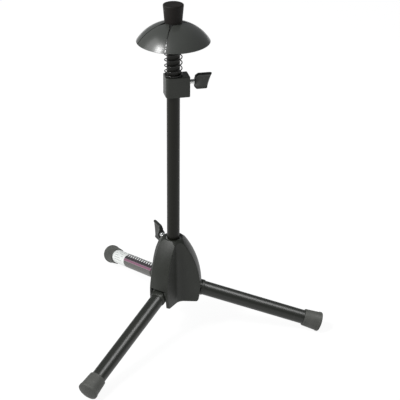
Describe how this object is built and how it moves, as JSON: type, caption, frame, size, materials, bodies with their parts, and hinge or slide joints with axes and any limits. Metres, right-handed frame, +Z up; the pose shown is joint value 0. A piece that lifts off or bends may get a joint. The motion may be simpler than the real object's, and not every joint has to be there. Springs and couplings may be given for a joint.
{
  "type": "trumpet stand",
  "caption": "Folding tripod stand for a trumpet: hinged tube legs in a moulded base, a sliding post, a sprung split-dome bell rest and a rubber tip.",
  "frame": {"origin": "on the floor under the post's axis, level with the three feet", "axes": "+Z up along the post; +X along the right leg, the others at 120 and 240 degrees"},
  "size_m": [0.2628, 0.3008, 0.384],
  "materials": {
    "housing_plastic": "moulded black plastic, satin with fine grain",
    "wing_plastic": "moulded black plastic",
    "hub_plastic": "moulded dark grey plastic",
    "petal_plastic": "glossy black plastic",
    "bush_plastic": "moulded black plastic bush",
    "tube_paint": "black powder coat, satin",
    "rubber": "black rubber, matt",
    "zinc": "bright zinc plate",
    "spring_steel": "blackened spring wire",
    "nylon": "black nylon",
    "label_paper": null
  },
  "bodies": {
    "base": {"base_housing": "housing_plastic", "post_bush": "bush_plastic", "base_clamp_nut": "zinc", "hinge_pin_right": "zinc", "hinge_pin_rear": "zinc", "hinge_pin_front": "zinc"},
    "leg_right": {"knuckle_right": "housing_plastic", "leg_tube_right": "tube_paint", "foot_cap_right": "rubber"},
    "leg_rear": {"knuckle_rear": "housing_plastic", "leg_tube_rear": "tube_paint", "foot_cap_rear": "rubber", "leg_label": "label_paper"},
    "leg_front": {"knuckle_front": "housing_plastic", "leg_tube_front": "tube_paint", "foot_cap_front": "rubber"},
    "post": {"post_tube": "tube_paint", "post_end_plug": "nylon", "rubber_tip": "rubber"},
    "collar": {"collar_block": "housing_plastic", "collar_clamp_nut": "zinc", "spring": "spring_steel"},
    "bell_rest": {"dome_hub": "hub_plastic", "petal_front": "petal_plastic", "petal_right": "petal_plastic", "petal_rear": "petal_plastic", "petal_left": "petal_plastic"},
    "base_pad": {"base_clamp_pad": "nylon"},
    "base_screw": {"base_clamp_screw": "zinc", "base_wing_handle": "wing_plastic"},
    "collar_pad": {"collar_clamp_pad": "nylon"},
    "collar_screw": {"collar_clamp_screw": "zinc", "collar_wing_handle": "wing_plastic"}
  },
  "joints": [
    {"name": "fold_right", "type": "hinge", "parent": "base", "child": "leg_right", "pos_m": [0.022, 0, 0.056], "axis": [0, 1, 0], "range_deg": [0, 72.4]},
    {"name": "fold_rear", "type": "hinge", "parent": "base", "child": "leg_rear", "pos_m": [-0.011, 0.01905, 0.056], "axis": [-0.866, -0.5, 0], "range_deg": [0, 72.4]},
    {"name": "fold_front", "type": "hinge", "parent": "base", "child": "leg_front", "pos_m": [-0.011, -0.01905, 0.056], "axis": [0.866, -0.5, 0], "range_deg": [0, 72.4]},
    {"name": "post_slide", "type": "slide", "parent": "base", "child": "post", "axis": [0, 0, 1], "range_m": [-0.11, 0.03]},
    {"name": "collar_slide", "type": "slide", "parent": "post", "child": "collar", "axis": [0, 0, 1], "range_m": [-0.05, 0]},
    {"name": "bell_rest_press", "type": "slide", "parent": "collar", "child": "bell_rest", "axis": [0, 0, 1], "range_m": [-0.02, 0], "stiffness_N_per_m": 170, "springref_m": 0.01, "deforming": ["spring"]},
    {"name": "base_pad_travel", "type": "slide", "parent": "base", "child": "base_pad", "axis": [-0.5, 0.866, 0], "range_m": [0, 0.0016]},
    {"name": "base_screw_turn", "type": "hinge", "parent": "base_pad", "child": "base_screw", "pos_m": [-0.01, 0.01732, 0.106], "axis": [-0.5, 0.866, 0], "range_deg": [0, 720]},
    {"name": "collar_pad_travel", "type": "slide", "parent": "collar", "child": "collar_pad", "axis": [0.9703, 0.2419, 0], "range_m": [0, 0.0016]},
    {"name": "collar_screw_turn", "type": "hinge", "parent": "collar_pad", "child": "collar_screw", "pos_m": [0.01941, 0.00484, 0.2992], "axis": [0.9703, 0.2419, 0], "range_deg": [0, 720]}
  ],
  "couplings": [
    {"joint": "base_screw_turn", "follows": "base_pad_travel", "rad_per_m": 7854},
    {"joint": "collar_screw_turn", "follows": "collar_pad_travel", "rad_per_m": 7854}
  ]
}
